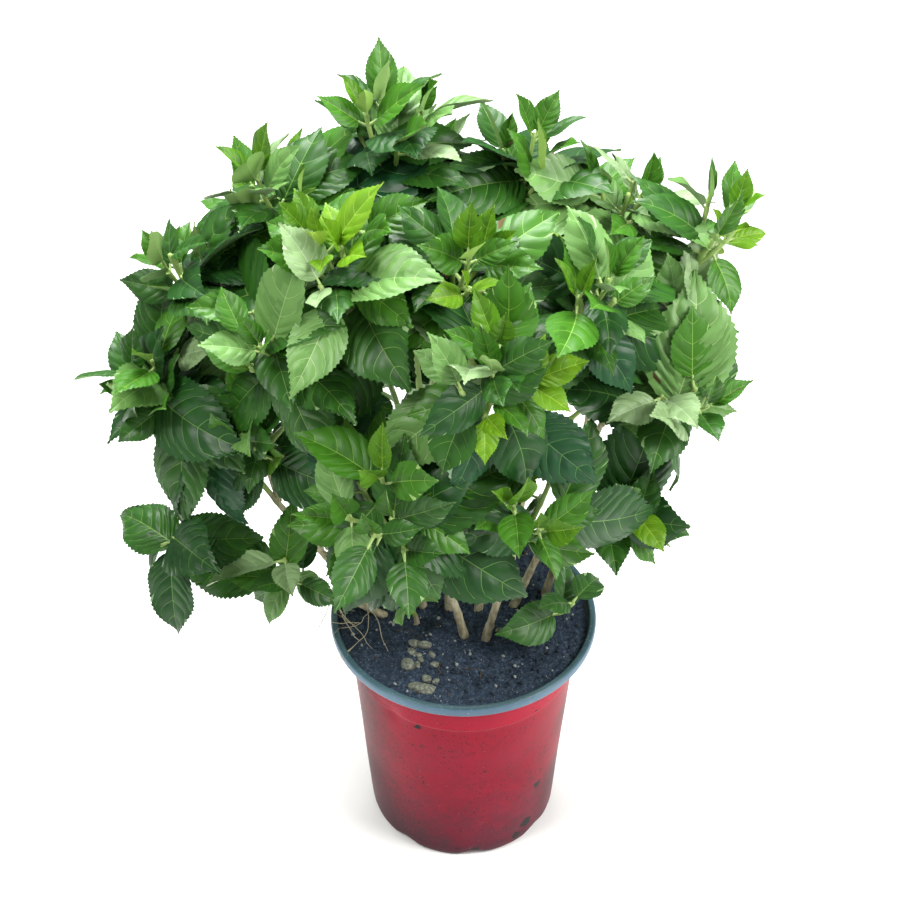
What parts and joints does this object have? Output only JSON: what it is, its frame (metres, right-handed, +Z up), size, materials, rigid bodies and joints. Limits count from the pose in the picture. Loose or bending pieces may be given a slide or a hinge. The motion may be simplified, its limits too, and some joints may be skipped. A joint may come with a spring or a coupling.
{
  "type": "hydrangea shrub in a plastic nursery pot",
  "caption": "Rounded leafy hydrangea shrub with woody stems, growing from soil in a red plastic nursery pot with a rolled blue-grey rim.",
  "frame": {"origin": "middle of the pot's flat underside", "axes": "+Z up through the pot; -Y is the front that the low open side of the crown faces; +X to the right of it"},
  "size_m": [0.5509, 0.4904, 0.754],
  "materials": {
    "pot_plastic": "satin",
    "soil": "matte",
    "bark": "matte",
    "leaves": "satin"
  },
  "bodies": {
    "root": {"pot": "pot_plastic", "soil": "soil", "stem_back": "bark", "stem_back_left": "bark", "stem_back_right": "bark", "stem_far_right": "bark", "stem_left": "bark", "stem_low_front_shoot": "bark", "stem_low_left": "bark", "stem_low_right_shoot": "bark", "stem_middle_left": "bark", "stem_middle_right": "bark", "stem_top": "bark", "stem_top_left": "bark", "stem_top_middle": "bark", "stem_top_right": "bark", "bough_front": "bark", "bough_front_middle": "bark", "bough_front_right": "bark", "bough_left_front": "bark", "bough_left_inner": "bark", "bough_low_back_left": "bark", "bough_low_back_right": "bark", "bough_low_left_inner": "bark", "bough_low_right": "bark", "bough_middle": "bark", "bough_right": "bark", "bough_right_back": "bark", "bough_right_front": "bark", "bough_upper_left": "bark", "leaves_back": "leaves", "leaves_back_left": "leaves", "leaves_back_right": "leaves", "leaves_far_right": "leaves", "leaves_front": "leaves", "leaves_front_middle": "leaves", "leaves_front_right": "leaves", "leaves_left": "leaves", "leaves_left_front": "leaves", "leaves_left_inner": "leaves", "leaves_low_back_left": "leaves", "leaves_low_back_right": "leaves", "leaves_low_front_shoot": "leaves", "leaves_low_left": "leaves", "leaves_low_left_inner": "leaves", "leaves_low_right": "leaves", "leaves_low_right_shoot": "leaves", "leaves_middle": "leaves", "leaves_middle_left": "leaves", "leaves_middle_right": "leaves", "leaves_right": "leaves", "leaves_right_back": "leaves", "leaves_right_front": "leaves", "leaves_top": "leaves", "leaves_top_left": "leaves", "leaves_top_middle": "leaves", "leaves_top_right": "leaves", "leaves_upper_left": "leaves"}
  },
  "joints": []
}
